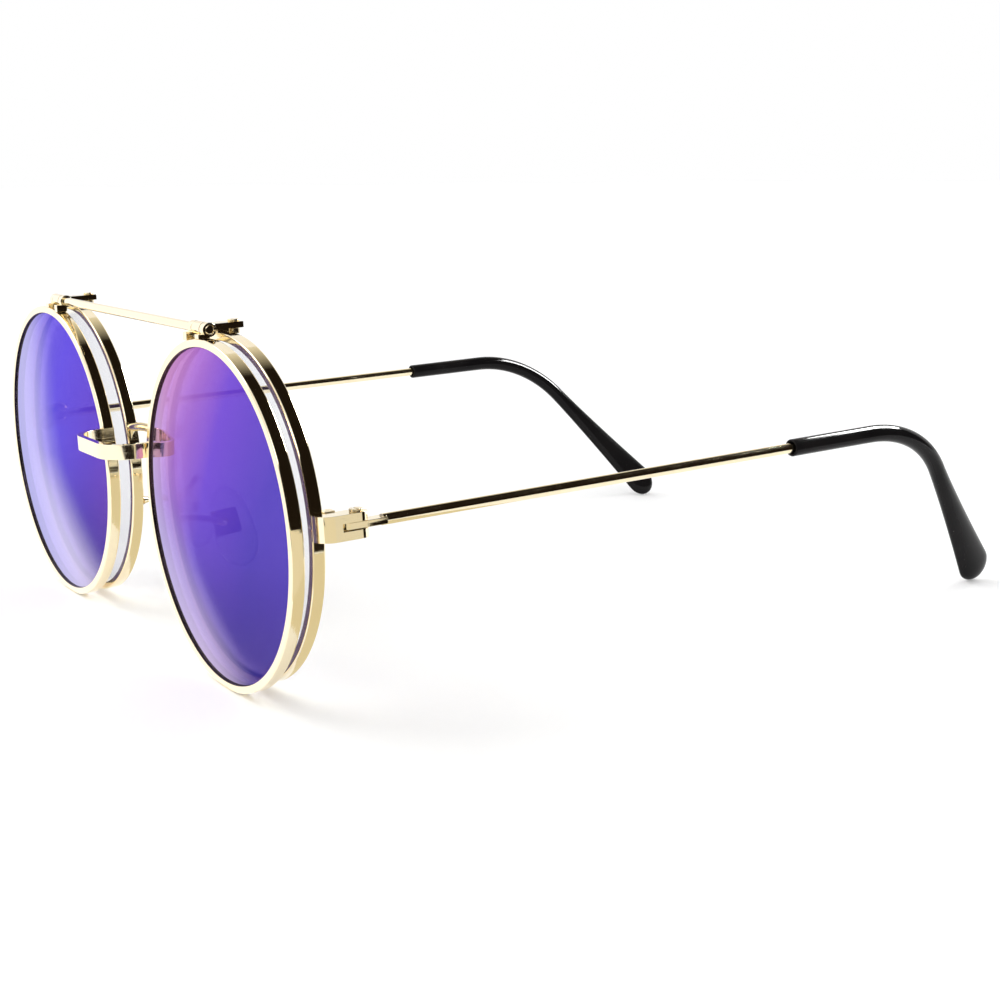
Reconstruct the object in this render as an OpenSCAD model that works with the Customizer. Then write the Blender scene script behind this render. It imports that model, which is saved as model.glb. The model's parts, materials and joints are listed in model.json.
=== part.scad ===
// Round flip up sunglasses in millimetres. +Z is up and the lenses face -Y.
// They stand open on a table: rims and temple tips touch z = 0.
// The origin lies on the table in the middle of the width and the depth.
// Left is the wearer's left, at +X.

/* [Rims and lenses] */
// outside diameter of every rim
rim_d = 52; // [48:0.5:56]
// thickness of a rim's wall, outwards
rim_wall = 1.15; // [1:0.05:1.6]
// depth of a rim from front to back
rim_depth = 2; // [1.8:0.1:2.6]
// how far a lens reaches into its rim
groove_depth = 0.5; // [0.3:0.05:0.65]
// thickness of a lens
lens_t = 1.1; // [0.9:0.05:1.3]
// radius of a lens's curve
lens_curve = 180; // [120:5:300]
// distance between the centres of the rear rims
rear_spacing = 67.4; // [66:0.2:72]
// distance between the centres of the front rims
front_spacing = 69.6; // [68:0.2:74]
// open space between the front and the rear rims
layer_gap = 1.65; // [1.5:0.1:2.2]
// how much lower the front rims hang than the rear rims
front_drop = 0.5; // [0.3:0.05:0.8]

/* [Bridges] */
// thickness of the wire of the rear bridge
rear_bridge_d = 1.45; // [1.2:0.05:1.8]
// height of the rear bridge's ends above the table line
rear_bridge_z = 32.7; // [31:0.5:36]
// rise of the rear bridge's middle
rear_bridge_rise = 0.9; // [0.6:0.1:2]
// height of the rear bridge's soldered feet
bridge_foot_h = 2.8; // [2:0.1:3.4]
// height of the front bridge's band
front_bridge_h = 2.4; // [1.8:0.1:3]
// thickness of the front bridge's band
front_bridge_t = 1; // [0.8:0.05:1.3]
// height of the middle of the front bridge
front_bridge_z = 31.9; // [30:0.5:35]
// how far the front bridge bows ahead of the rims
front_bridge_bow = 6; // [5:0.1:7]
// corner radius of the front bridge
front_bridge_r = 5.4; // [3.5:0.1:5.6]

/* [Flip hinge] */
// diameter of the brow bar that is also the hinge pin
bar_d = 1.4; // [1.2:0.05:1.5]
// outside diameter of the knuckles on the bar
knuckle_d = 2.1; // [2.1:0.05:2.5]
// width of a leaf
leaf_w = 2.8; // [2.4:0.1:4]
// thickness of a leaf's strap
leaf_t = 0.9; // [0.7:0.05:1]
// how far a leaf reaches behind the rear rim
leaf_back = 2.2; // [2:0.1:3]
// width of each lug
lug_w = 1.35; // [1.1:0.05:1.8]
// distance of each flip hinge from the middle
flip_hinge_x = 31.2; // [30:0.1:35]
// opening in the outer side of each curled lug
lug_slot = 0.6; // [0.4:0.05:0.8]
// diameter of the rivet at the back of a leaf
rivet_d = 1.1; // [0.9:0.05:1.2]
// diameter of the rivet's heads
rivet_head_d = 1.7; // [1.5:0.05:1.9]

/* [End pieces] */
// height of an end piece
end_piece_h = 3.6; // [3.2:0.1:4.2]
// width of an end piece
end_piece_w = 3.1; // [2.8:0.1:3.6]
// radius of the front corner of an end piece
end_corner_r = 2.4; // [1.6:0.1:2.8]
// height of the hinge screw above the rim's centre line
end_piece_rise = 1.9; // [1:0.1:4]
// distance from the back of the rear rim to the hinge screw
hinge_back = 4; // [4:0.1:5.5]
// height of the slot for the tongue
tongue_slot = 1.1; // [0.9:0.05:1.3]
// diameter of the hinge screw
hinge_screw_d = 1.2; // [1:0.05:1.3]
// diameter of the hinge screw's head
hinge_head_d = 1.9; // [1.6:0.05:2.2]
// height of the hinge screw's head
hinge_head_h = 0.35; // [0.25:0.05:0.5]
// lean of the hinge screw, so that folded temples pass each other
hinge_lean = 2.2; // [1.8:0.1:2.6]
// width of the lock block behind the rim
lock_w = 1.6; // [1.3:0.05:1.8]
// depth of the lock block
lock_depth = 1.7; // [1.4:0.05:1.8]
// height of the lock block
lock_h = 3.8; // [3.6:0.1:5]
// diameter of the lock screw
lock_screw_d = 0.7; // [0.5:0.05:0.8]
// diameter of the lock screw's head
lock_head_d = 1.3; // [1.1:0.05:1.5]

/* [Temples] */
// diameter of the temple wire
wire_d = 1.6; // [1.4:0.05:1.9]
// width of the flat tongue at the hinge
tongue_w = 2.4; // [2:0.1:2.6]
// length of the tongue ahead of the screw
tongue_front = 2.5; // [1.6:0.1:2.6]
// length of the tongue behind the screw
tongue_len = 4.2; // [3.8:0.1:6]
// inward turn of each temple in degrees
toe_in = 0.3; // [0:0.1:1.2]
// distance from the hinge screw to the start of the tip
tip_start = 78.6; // [70:0.5:86]
// distance from the hinge screw to the ear bend
bend_start = 96; // [90:0.5:104]
// radius of the ear bend
bend_r = 24.4; // [18:0.2:27]
// angle of the ear bend
bend_angle = 51.5; // [46:0.5:56]
// inward lean of the tip behind the bend
tip_lean = 18; // [14:0.2:22]
// diameter of the tip where it starts
tip_start_d = 2.8; // [2.6:0.05:3.2]
// diameter of the tip at the bend
tip_bend_d = 2.85; // [2.8:0.05:3.4]
// width of the tip's end
tip_end_w = 6.7; // [5.4:0.1:7.2]
// thickness of the tip's end
tip_end_t = 2.3; // [2:0.1:2.7]
// length of wire inside the tip
core_len = 16; // [10:0.5:16.5]

/* [Nose pads] */
// height of a pad
pad_h = 13.6; // [12:0.2:15]
// width of a pad
pad_w = 7.4; // [6:0.1:8]
// thickness of a pad
pad_t = 2; // [1.7:0.1:2.2]
// distance from the middle to a pad's centre
pad_x = 7.4; // [7:0.1:9]
// distance from the back of the rear rim to a pad's centre
pad_back = 9.7; // [9.2:0.1:11.5]
// height of a pad's centre
pad_z = 17; // [15:0.2:19]
// turn of a pad towards the face
pad_splay = 24; // [18:1:28]
// lean of a pad's top towards the nose
pad_flare = 9; // [5:1:12]
// forward lean of a pad's top
pad_lean = 10; // [6:1:14]
// size of the square pad box
pad_box = 4.2; // [3.8:0.1:4.6]
// thickness of the pad box's plate
pad_box_t = 0.5; // [0.4:0.05:0.6]
// diameter of the pad arm's wire
pad_arm_d = 1; // [0.9:0.05:1.2]
// height of the pad arm's foot above the pad's centre
arm_foot_rise = 3; // [2:0.2:5]
// how far the pad arm bows out
arm_bow = 5; // [3.5:0.1:6]
// diameter of the pad screw
pad_screw_d = 0.7; // [0.6:0.05:0.8]

/* [Stance] */
// backward lean of the whole object as it stands, in degrees
rest_tilt = 2.2; // [2:0.1:2.4]

/* [Hidden] */
$fn = 72;
slip = 0.05;           // radial clearance of a turning fit
seat = 0.02;           // clearance of a fixed fit
gap_side = 0.15;       // clearance between faces that slide past each other
rim_r = rim_d / 2;
rim_in = rim_r - rim_wall;
lens_r = rim_in + groove_depth - slip;
front_back = -rim_depth - layer_gap;
front_face = front_back - rim_depth;
rear_x = rear_spacing / 2;
front_x = front_spacing / 2;
front_z = rim_r - front_drop;
lens_sag = lens_curve - sqrt(lens_curve * lens_curve - lens_r * lens_r);

axis_y = front_back - 0.1;
axis_z = front_z + rim_r + knuckle_d / 2 + 0.1;
bar_half = flip_hinge_x + leaf_w / 2 + gap_side + lug_w;
leaf_top = axis_z + knuckle_d / 2 - 0.4;
leaf_low = leaf_top - leaf_t;
rivet_y = leaf_back - rivet_head_d / 2 - 0.1;

hinge_z = rim_r + end_piece_rise;
rim_side = rear_x + sqrt(rim_r * rim_r - end_piece_rise * end_piece_rise);
hinge_x = rim_side + 0.15 + end_piece_w / 2;
tongue_t = tongue_slot - gap_side;
lock_x = rim_side - lock_w / 2;
lock_y = seat + lock_depth / 2;

tilt_sin = sin(rest_tilt);
tilt_cos = cos(rest_tilt);
lift = front_drop * tilt_cos - front_face * tilt_sin;
// the drop is as long as it takes for the tip's end to reach the table
end_reach = sqrt(pow(tip_end_w / 2 * cos(tip_lean), 2) + pow(tip_end_t / 2 * sin(tip_lean), 2));
arc_y = bend_start + bend_r * sin(bend_angle);
arc_z = -bend_r * (1 - cos(bend_angle));
drop_top = hinge_back + arc_y;
sway = sin(toe_in) * sin(hinge_lean);
drop_rate = sin(bend_angle) * cos(tip_lean) * tilt_cos - cos(bend_angle) * (tilt_sin - sway);
drop_high = (hinge_z + arc_z * cos(tip_lean)) * tilt_cos + drop_top * tilt_sin - arc_y * sway + lift;
drop_len = (drop_high - end_reach) / drop_rate;
end_y = arc_y + drop_len * cos(bend_angle);
end_z = arc_z - drop_len * sin(bend_angle);

pad_axis = pad_t / 2 + 0.95;
pad_back_plate = pad_axis + 0.75;
pad_lug_t = 1.2;
tab_t = 0.5;
box_y = -1;
box_z = 1.2;

bridge_gap = rear_x - sqrt(rim_r * rim_r - pow(rear_bridge_z - rim_r, 2));
bridge_arc = (bridge_gap * bridge_gap + rear_bridge_rise * rear_bridge_rise) / (2 * rear_bridge_rise);
bow_front = front_face - front_bridge_bow;
bow_half = front_x - rim_r + 0.6;

most_front = bow_front * tilt_cos - (front_bridge_z + front_bridge_h / 2) * tilt_sin;
tip_low_z = hinge_z + end_z * cos(tip_lean);
tip_in = end_z * sin(tip_lean + hinge_lean) * sin(toe_in);
most_back = (hinge_back + end_y + tip_in + tip_end_w / 2) * tilt_cos - tip_low_z * tilt_sin;
middle_y = (most_front + most_back) / 2;

// puts a piece drawn square to the rims into its standing place
module standing() {
  translate([0, -middle_y, lift])
    rotate([rest_tilt, 0, 0])
      children();
}

// draws a left piece on the left or the right
module on_side(side) {
  if (side > 0) children();
  else mirror([1, 0, 0]) children();
}

// a round bar along Y
module along_y(r, y0, y1) {
  translate([0, y1, 0])
    rotate([90, 0, 0])
      cylinder(r = r, h = y1 - y0);
}

// a round bar along X
module along_x(r, x0, x1) {
  translate([x0, 0, 0])
    rotate([0, 90, 0])
      cylinder(r = r, h = x1 - x0);
}

// a ring with a groove, its back face at y = back
module rim(x, z, back) {
  translate([x, back, z])
    rotate([90, 0, 0])
      rotate_extrude($fn = 96)
        difference() {
          translate([rim_in, 0])
            square([rim_wall, rim_depth]);
          translate([rim_in - 1, rim_depth / 2 - lens_t / 2 - slip])
            square([1 + groove_depth, lens_t + 2 * slip + 0.06]);
        }
}

// a thin cap of a sphere, bulging to the front
module lens(x, z, back) {
  mid = back - rim_depth / 2;
  translate([x, mid - lens_sag + lens_curve, z])
    intersection() {
      translate([0, lens_sag - lens_curve, 0])
        along_y(lens_r, -lens_sag * 2 - lens_t * 2, lens_t * 2);
      difference() {
        sphere(r = lens_curve + lens_t / 2, $fn = 240);
        sphere(r = lens_curve - lens_t / 2, $fn = 240);
      }
    }
}

// the outside of a rim, for cutting what is soldered to it
module rim_body(x, z, extra = 0.01) {
  translate([x, 0, z])
    along_y(rim_r + extra, -40, 40);
}

module rear_rim(side) {
  color([0.85, 0.74, 0.48])
    on_side(side)
      difference() {
        rim(rear_x, rim_r, 0);
        translate([rim_side - rim_wall - 0.6, -rim_depth - 1, hinge_z - 0.12])
          cube([rim_wall + 1.2, rim_depth + 2, 0.24]);
      }
}

module front_rim(side) {
  color([0.87, 0.77, 0.52])
    on_side(side)
      rim(front_x, front_z, front_back);
}

module clear_lens(side) {
  color([0.8, 0.86, 0.88, 0.35])
    on_side(side)
      lens(rear_x, rim_r, 0);
}

module mirror_lens(side) {
  color([0.32, 0.2, 0.72])
    on_side(side)
      lens(front_x, front_z, front_back);
}

// an arched wire with a foot on each rear rim
module rear_bridge() {
  color([0.85, 0.74, 0.48])
    difference() {
      union() {
        translate([0, -rim_depth / 2, rear_bridge_z + rear_bridge_rise - bridge_arc])
          rotate([90, 0, 0])
            rotate([0, 0, 90 - 26])
              rotate_extrude(angle = 52)
                translate([bridge_arc, 0])
                  circle(d = rear_bridge_d);
        for (s = [-1, 1])
          translate([s * (bridge_gap + 0.1) - 0.8, -rim_depth / 2 - 0.55, rear_bridge_z - bridge_foot_h + rear_bridge_d / 2])
            cube([1.6, 1.1, bridge_foot_h]);
      }
      for (s = [-1, 1])
        rim_body(s * rear_x, rim_r);
    }
}

// one rounded rectangle, seen from above
module bow_outline(half, front, r) {
  square_back = 6;
  translate([-half, front + r])
    square([2 * half, square_back - front - r]);
  translate([-half + r, front])
    square([2 * (half - r), r + 1]);
  for (s = [-1, 1])
    translate([s * (half - r), front + r])
      circle(r = r, $fn = 64);
}

// a flat band that bows ahead of the front rims
module front_bridge() {
  color([0.87, 0.77, 0.52])
    difference() {
      translate([0, 0, front_bridge_z - front_bridge_h / 2])
        linear_extrude(height = front_bridge_h)
          difference() {
            bow_outline(bow_half, bow_front, front_bridge_r);
            bow_outline(bow_half - front_bridge_t, bow_front + front_bridge_t, front_bridge_r - front_bridge_t);
            translate([-40, front_back - 0.5])
              square([80, 60]);
          }
      for (s = [-1, 1])
        rim_body(s * front_x, front_z);
    }
}

// the straight bar over both lenses; the front turns with it
module brow_bar() {
  color([0.87, 0.77, 0.52])
    translate([0, axis_y, axis_z])
      along_x(bar_d / 2, -bar_half, bar_half);
}

// a curled knuckle and its foot on the front rim
module lug(x0) {
  difference() {
    translate([x0, 0, 0])
      union() {
        translate([0, axis_y, axis_z])
          along_x(knuckle_d / 2, 0, lug_w);
        translate([0, front_back - rim_depth + 0.1, front_z + rim_r - 0.6])
          cube([lug_w, rim_depth - 0.2, 1.2]);
      }
    translate([0, axis_y, axis_z])
      along_x(bar_d / 2 + seat / 2, x0 - 1, x0 + lug_w + 1);
    translate([x0 - 1, axis_y, axis_z - lug_slot / 2])
      cube([lug_w + 2, knuckle_d, lug_slot]);
    rim_body(front_x, front_z);
  }
}

module flip_lugs(side) {
  color([0.86, 0.76, 0.5])
    on_side(side) {
      lug(flip_hinge_x + leaf_w / 2 + gap_side);
      lug(flip_hinge_x - leaf_w / 2 - gap_side - lug_w);
    }
}

// the strap from the brow bar to the rear rim
module flip_leaf(side) {
  color([0.85, 0.74, 0.48])
    on_side(side)
      difference() {
        translate([flip_hinge_x - leaf_w / 2, 0, 0])
          union() {
            translate([0, axis_y, axis_z])
              along_x(knuckle_d / 2, 0, leaf_w);
            translate([0, axis_y, leaf_low])
              cube([leaf_w, leaf_back - axis_y, leaf_t]);
            translate([0, -rim_depth + 0.1, rim_r * 2 - 0.6])
              cube([leaf_w, rim_depth - 0.2, leaf_low - rim_r * 2 + 0.8]);
          }
        translate([0, axis_y, axis_z])
          along_x(bar_d / 2 + slip, 0, 60);
        translate([flip_hinge_x, rivet_y, leaf_low - 1])
          cylinder(d = rivet_d + 2 * seat, h = leaf_t + 2);
        rim_body(rear_x, rim_r);
      }
}

module leaf_rivets() {
  color([0.8, 0.7, 0.45])
    for (s = [-1, 1])
      translate([s * flip_hinge_x, rivet_y, 0]) {
        translate([0, 0, leaf_low - 0.9])
          cylinder(d = rivet_head_d, h = 0.9 - seat);
        translate([0, 0, leaf_low - 0.5])
          cylinder(d = rivet_d, h = leaf_t + 0.6);
        translate([0, 0, leaf_top + seat])
          cylinder(d = rivet_head_d, h = 0.3);
      }
}

// everything at a temple hinge is drawn around its screw
module at_hinge() {
  translate([hinge_x, hinge_back, hinge_z])
    rotate([0, -hinge_lean, 0])
      children();
}

// slotted end piece with two ears
module end_piece(side) {
  front = -hinge_back - rim_depth;
  color([0.85, 0.74, 0.48])
    on_side(side)
      difference() {
        at_hinge()
          difference() {
            union() {
              translate([-end_piece_w / 2, front + end_corner_r, -end_piece_h / 2])
                cube([end_piece_w, -front - end_corner_r, end_piece_h]);
              intersection() {
                translate([end_piece_w / 2 - end_corner_r, front + end_corner_r, -end_piece_h / 2])
                  cylinder(r = end_corner_r, h = end_piece_h);
                translate([-end_piece_w / 2, front - 1, -end_piece_h])
                  cube([end_piece_w + 1, end_corner_r + 2, end_piece_h * 2]);
              }
              translate([0, 0, -end_piece_h / 2])
                cylinder(d = end_piece_w, h = end_piece_h);
              translate([-end_piece_w / 2 - 1.2, front, -end_piece_h / 2])
                cube([1.4, rim_depth - 0.05, end_piece_h]);
            }
            translate([-end_piece_w, -tongue_front - 0.3, -tongue_slot / 2])
              cube([end_piece_w * 2, tongue_front + end_piece_w + 1, tongue_slot]);
            translate([0, 0, -end_piece_h])
              cylinder(d = hinge_screw_d + 2 * seat, h = end_piece_h * 2);
          }
        rim_body(rear_x, rim_r);
      }
}

module hinge_screws() {
  color([0.7, 0.62, 0.42])
    for (s = [-1, 1])
      on_side(s)
        at_hinge() {
          translate([0, 0, -end_piece_h / 2 - 0.15])
            cylinder(d = hinge_screw_d, h = end_piece_h + 0.3);
          difference() {
            translate([0, 0, end_piece_h / 2 + seat])
              cylinder(d = hinge_head_d, h = hinge_head_h);
            translate([-2, -0.13, end_piece_h / 2 + seat + hinge_head_h - 0.18])
              cube([4, 0.26, 1]);
          }
        }
}

// two half blocks that close the split rim
module rim_lock(side) {
  half = lock_h / 2 - 0.12;
  color([0.85, 0.74, 0.48])
    on_side(side)
      for (up = [0, 1])
        difference() {
          translate([lock_x - lock_w / 2, seat, hinge_z + (up ? 0.12 : -0.12 - half)])
            cube([lock_w, lock_depth, half]);
          translate([lock_x, lock_y, hinge_z - lock_h])
            cylinder(d = lock_screw_d + 2 * seat, h = lock_h * 2);
        }
}

module lock_screws() {
  color([0.7, 0.62, 0.42])
    for (s = [-1, 1])
      on_side(s)
        translate([lock_x, lock_y, hinge_z]) {
          translate([0, 0, -lock_h / 2 - seat])
            cylinder(d = lock_screw_d, h = lock_h);
          translate([0, 0, -lock_h / 2 - seat - 0.35])
            cylinder(d = lock_head_d, h = 0.35);
        }
}

// flat tongue, straight wire and the core inside the tip
module temple_wire(side) {
  color([0.86, 0.76, 0.5])
    on_side(side)
      at_hinge()
        rotate([0, 0, toe_in])
          difference() {
            union() {
              translate([-tongue_w / 2, tongue_w / 2 - tongue_front, -tongue_t / 2])
                cube([tongue_w, tongue_len + tongue_front - tongue_w / 2, tongue_t]);
              translate([0, tongue_w / 2 - tongue_front, -tongue_t / 2])
                cylinder(d = tongue_w, h = tongue_t);
              along_y(wire_d / 2, tongue_len - 0.4, tip_start + core_len);
            }
            translate([0, 0, -2])
              cylinder(d = hinge_screw_d + 2 * slip, h = 4);
          }
}

// a closed body through equal rings of points
module loft(rings) {
  n = len(rings[0]);
  last = len(rings) - 1;
  walls = [
    for (i = [0 : last - 1])
      for (j = [0 : n - 1])
        let (a = i * n + j, b = i * n + (j + 1) % n)
        for (tri = [[a, b, b + n], [a, b + n, a + n]])
          tri
  ];
  first_cap = [for (j = [n - 1 : -1 : 0]) j];
  last_cap = [for (j = [0 : n - 1]) last * n + j];
  polyhedron(points = [for (r = rings) for (q = r) q], faces = concat(walls, [first_cap, last_cap]));
}

// an oval ring across the tip, t thick and w wide, where the tip slopes down by a
function tip_ring(y, z, a, w, t) =
  [for (j = [0 : 27])
    let (c = cos(j * 360 / 28), s = sin(j * 360 / 28))
    [t / 2 * c, y - w / 2 * s * sin(a), z - w / 2 * s * cos(a)]];
function tip_w(u) = tip_bend_d + (tip_end_w - tip_bend_d) * pow(u, 1.33);
function tip_t(u) = tip_bend_d + (tip_end_t - tip_bend_d) * u;

// sleeve with an ear bend and a flat rounded end
module temple_tip(side) {
  drop_y = cos(bend_angle);
  drop_z = -sin(bend_angle);
  straight = [
    tip_ring(tip_start, 0, 0, tip_start_d - 0.3, tip_start_d - 0.3),
    tip_ring(tip_start + 0.15, 0, 0, tip_start_d, tip_start_d)
  ];
  bend = [
    for (i = [0 : 10])
      let (a = bend_angle * i / 10)
      tip_ring(bend_start + bend_r * sin(a), -bend_r * (1 - cos(a)), a, tip_bend_d, tip_bend_d)
  ];
  drop = [
    for (i = [1 : 8])
      let (u = i / 8)
      tip_ring(arc_y + drop_len * u * drop_y, arc_z + drop_len * u * drop_z, bend_angle, tip_w(u), tip_t(u))
  ];
  round_end = [
    for (q = [18, 36, 52, 66, 78, 86])
      let (k = tip_end_w / 2 * sin(q))
      tip_ring(end_y + k * drop_y, end_z + k * drop_z, bend_angle, tip_end_w * cos(q), tip_end_t * cos(q))
  ];
  color([0.03, 0.03, 0.035])
    on_side(side)
      at_hinge()
        rotate([0, 0, toe_in])
          rotate([0, tip_lean + hinge_lean, 0])
            difference() {
              loft(concat(straight, bend, drop, round_end));
              along_y(wire_d / 2 + seat, tip_start - 1, tip_start + core_len + 0.2);
            }
}

// everything on a nose pad is drawn around the pad's middle
// X runs from the nose to the frame, Z up along the pad
module at_pad() {
  translate([pad_x, pad_back, pad_z])
    rotate([0, 0, -pad_splay])
      rotate([0, -pad_flare, 0])
        rotate([pad_lean, 0, 0])
          children();
}

// where a point of a pad's own frame lies
function turned_x(p, a) = [p[0], p[1] * cos(a) - p[2] * sin(a), p[1] * sin(a) + p[2] * cos(a)];
function turned_y(p, a) = [p[0] * cos(a) + p[2] * sin(a), p[1], p[2] * cos(a) - p[0] * sin(a)];
function turned_z(p, a) = [p[0] * cos(a) - p[1] * sin(a), p[0] * sin(a) + p[1] * cos(a), p[2]];
function pad_point(p) =
  [pad_x, pad_back, pad_z] + turned_z(turned_y(turned_x(p, pad_lean), -pad_flare), -pad_splay);

module nose_pad(side) {
  low_r = pad_w / 2;
  top_r = pad_w * 0.38;
  color([0.86, 0.88, 0.88, 0.5])
    on_side(side)
      at_pad()
        difference() {
          union() {
            hull() {
              translate([0, 0, low_r - pad_h / 2])
                scale([pad_t / pad_w, 1, 1])
                  sphere(r = low_r, $fn = 36);
              translate([0, -0.4, pad_h / 2 - top_r])
                scale([pad_t / pad_w, 1, 1])
                  sphere(r = top_r, $fn = 36);
            }
            translate([0, box_y - pad_lug_t / 2, box_z - 0.8])
              cube([pad_axis + 0.6, pad_lug_t, 1.6]);
          }
          translate([pad_axis, box_y, box_z])
            along_y(pad_screw_d / 2 + slip, -2, 2);
        }
}

// folded plate with two tabs that hold the pad's lug
module pad_box_piece(side) {
  tab_in = pad_lug_t / 2 + gap_side;
  color([0.8, 0.7, 0.46])
    on_side(side)
      at_pad()
        translate([0, box_y, box_z])
          difference() {
            union() {
              translate([pad_back_plate, -pad_box / 2, -pad_box / 2])
                cube([pad_box_t, pad_box, pad_box]);
              for (s = [0, 1])
                translate([pad_axis - 0.5, s ? tab_in : -tab_in - tab_t, -1.1])
                  cube([pad_back_plate - pad_axis + 0.7, tab_t, 2.2]);
            }
            translate([pad_axis, 0, 0])
              along_y(pad_screw_d / 2 + seat, -3, 3);
          }
}

module pad_screws() {
  tab_out = pad_lug_t / 2 + gap_side + tab_t;
  color([0.7, 0.62, 0.42])
    for (s = [-1, 1])
      on_side(s)
        at_pad()
          translate([pad_axis, box_y, box_z]) {
            along_y(pad_screw_d / 2, -tab_out - 0.2, tab_out + 0.1);
            along_y(pad_screw_d / 2 + 0.25, tab_out + seat, tab_out + 0.35);
          }
}

// the arm leaves the rim straight back and meets the box square on
arm_foot_z = pad_z + arm_foot_rise;
arm_foot_x = rear_x - sqrt(pow(rim_r - rim_wall / 2, 2) - pow(rim_r - arm_foot_z, 2));
arm_start = [arm_foot_x, seat, arm_foot_z];
arm_end = pad_point([pad_back_plate + pad_box_t + seat, box_y, box_z]);
arm_in = arm_start + [0, arm_bow, 0];
arm_out = pad_point([pad_back_plate + pad_box_t + arm_bow, box_y, box_z - 0.6]);
function arm_point(t) =
  arm_start * pow(1 - t, 3) + arm_in * 3 * t * pow(1 - t, 2)
  + arm_out * 3 * t * t * (1 - t) + arm_end * pow(t, 3);
function arm_way(t) =
  let (v = (arm_in - arm_start) * pow(1 - t, 2) + (arm_out - arm_in) * 2 * t * (1 - t)
    + (arm_end - arm_out) * t * t)
  v / norm(v);

// bent wire from the back of the rear rim to the pad box
module pad_arm(side) {
  steps = 14;
  rings = [
    for (i = [0 : steps])
      let (p = arm_point(i / steps), w = arm_way(i / steps))
      let (u0 = cross(w, [0, 0, 1]), u = u0 / norm(u0), v = cross(w, u))
      [for (j = [0 : 19]) p + (u * cos(j * 18) + v * sin(j * 18)) * pad_arm_d / 2]
  ];
  color([0.8, 0.7, 0.46])
    on_side(side)
      loft(rings);
}

standing() rear_rim(1);  // rear_rim_left
standing() rear_rim(-1);  // rear_rim_right
standing() clear_lens(1);  // clear_lens_left
standing() clear_lens(-1);  // clear_lens_right
standing() rear_bridge();
standing() end_piece(1);  // end_piece_left
standing() end_piece(-1);  // end_piece_right
standing() rim_lock(1);  // rim_lock_left
standing() rim_lock(-1);  // rim_lock_right
standing() lock_screws();
standing() flip_leaf(1);  // flip_leaf_left
standing() flip_leaf(-1);  // flip_leaf_right
standing() leaf_rivets();
standing() pad_arm(1);  // pad_arm_left
standing() pad_arm(-1);  // pad_arm_right
standing() pad_box_piece(1);  // pad_box_left
standing() pad_box_piece(-1);  // pad_box_right
standing() pad_screws();
standing() nose_pad(1);  // nose_pad_left
standing() nose_pad(-1);  // nose_pad_right
standing() front_rim(1);  // front_rim_left
standing() front_rim(-1);  // front_rim_right
standing() mirror_lens(1);  // mirror_lens_left
standing() mirror_lens(-1);  // mirror_lens_right
standing() front_bridge();
standing() brow_bar();
standing() flip_lugs(1);  // flip_lugs_left
standing() flip_lugs(-1);  // flip_lugs_right
standing() temple_wire(1);  // temple_wire_left
standing() temple_wire(-1);  // temple_wire_right
standing() temple_tip(1);  // temple_tip_left
standing() temple_tip(-1);  // temple_tip_right
standing() hinge_screws();
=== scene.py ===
import bpy
import bmesh
import json
import math
from mathutils import Matrix, Vector


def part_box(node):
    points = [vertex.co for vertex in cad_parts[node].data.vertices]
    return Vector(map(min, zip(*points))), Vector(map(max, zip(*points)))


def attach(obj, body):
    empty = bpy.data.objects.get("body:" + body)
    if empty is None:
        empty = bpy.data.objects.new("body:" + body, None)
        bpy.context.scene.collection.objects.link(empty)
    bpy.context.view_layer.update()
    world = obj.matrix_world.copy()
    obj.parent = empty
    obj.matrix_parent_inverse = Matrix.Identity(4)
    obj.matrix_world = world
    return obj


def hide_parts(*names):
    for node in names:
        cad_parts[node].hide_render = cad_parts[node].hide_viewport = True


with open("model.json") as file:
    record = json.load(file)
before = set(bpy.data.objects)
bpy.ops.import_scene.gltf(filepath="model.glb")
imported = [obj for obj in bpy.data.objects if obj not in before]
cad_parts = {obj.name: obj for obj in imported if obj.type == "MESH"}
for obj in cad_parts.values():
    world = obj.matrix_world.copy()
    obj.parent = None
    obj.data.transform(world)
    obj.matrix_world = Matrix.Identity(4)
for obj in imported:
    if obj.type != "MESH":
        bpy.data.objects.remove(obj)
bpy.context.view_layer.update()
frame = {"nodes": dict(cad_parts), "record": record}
nodes = frame["nodes"]
bodies = frame["record"]["behaviour"]["bodies"]
bodyOf = {name: body for body, members in bodies.items() for name in members}
print("loaded", len(nodes), "nodes")

# pieces are drawn in mm, with y from the back of the rear rims; then they are leaned by tilt degrees,
# lifted until they touch the table, and moved so that the middle of the whole is at the origin
stance = {"tilt": 2.2, "lift": 0.7165, "middle": -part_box("rear_rim_left")[1].y * 1000}
standing = (
    Matrix.Scale(0.001, 4)
    @ Matrix.Translation((0, -stance["middle"], stance["lift"]))
    @ Matrix.Rotation(math.radians(stance["tilt"]), 4, "X")
)
bothSides = {"left": 1, "right": -1}
# points nearer than this are joined: placed and solid in metres, drawn in mm
joinWithin = {"placed": 2e-7, "solid": 1e-7, "drawn": 1e-4}


# small helpers

def turn(degrees, axis):
    return Matrix.Rotation(math.radians(degrees), 4, axis)


def circleAngles(count):
    return [2 * math.pi * j / count for j in range(count)]


def newPiece(name, mesh, material=None):
    piece = bpy.data.objects.new(name, mesh)
    bpy.context.scene.collection.objects.link(piece)
    if material:
        mesh.materials.clear()
        mesh.materials.append(material)
    return piece


# puts a mesh drawn in mm into its standing place, mirrored for the right side, faces outwards
def settle(mesh, place, side):
    work = bmesh.new()
    work.from_mesh(mesh)
    if place:
        work.transform(place)
    if side < 0:
        work.transform(Matrix.Scale(-1, 4, (1, 0, 0)))
    work.transform(standing)
    bmesh.ops.remove_doubles(work, verts=work.verts, dist=joinWithin["placed"])
    bmesh.ops.recalc_face_normals(work, faces=work.faces)
    for face in work.faces:
        face.smooth = True
    work.to_mesh(mesh)
    work.free()


# edges that turn by more than these degrees are shaded sharp
def markSharp(mesh, degrees):
    mesh.set_sharp_from_angle(angle=math.radians(degrees))


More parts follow.
